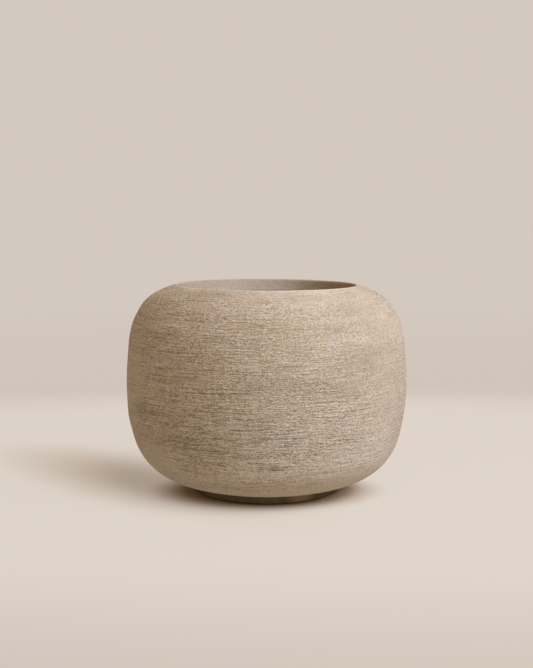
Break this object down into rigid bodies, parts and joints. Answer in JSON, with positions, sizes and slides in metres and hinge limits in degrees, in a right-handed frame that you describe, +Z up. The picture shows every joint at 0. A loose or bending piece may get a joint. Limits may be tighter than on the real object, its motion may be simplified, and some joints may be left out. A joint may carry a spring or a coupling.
{
  "type": "planter",
  "caption": "Rounded stone floor planter with an in-turned mouth, a set-back foot ring, a drain hole with a pull-out plug, and floor pads.",
  "frame": {"origin": "on the floor, at the middle of the planter's foot", "axes": "+Z up along the planter's axis of turning; the planter looks the same from every side, so +X and +Y are any two level directions at right angles"},
  "size_m": [0.4599, 0.46, 0.3391],
  "materials": {
    "combed_stone": "matte, combed round in fine horizontal ridges",
    "foot_stone": "matte, rubbed smooth",
    "mortar": "matte, trowelled",
    "plug_rubber": "matte black, moulded",
    "pad_rubber": "matte, cut from sheet"
  },
  "bodies": {
    "planter": {"vessel_shell": "combed_stone", "foot_ring": "foot_stone", "foot_bond": "mortar", "floor_pad_1": "pad_rubber", "floor_pad_2": "pad_rubber", "floor_pad_3": "pad_rubber", "floor_pad_4": "pad_rubber"},
    "plug": {"drain_plug": "plug_rubber"}
  },
  "joints": [
    {"name": "plug_lift", "type": "slide", "parent": "planter", "child": "plug", "axis": [0, 0, 1], "range_m": [0, 0.36]}
  ]
}
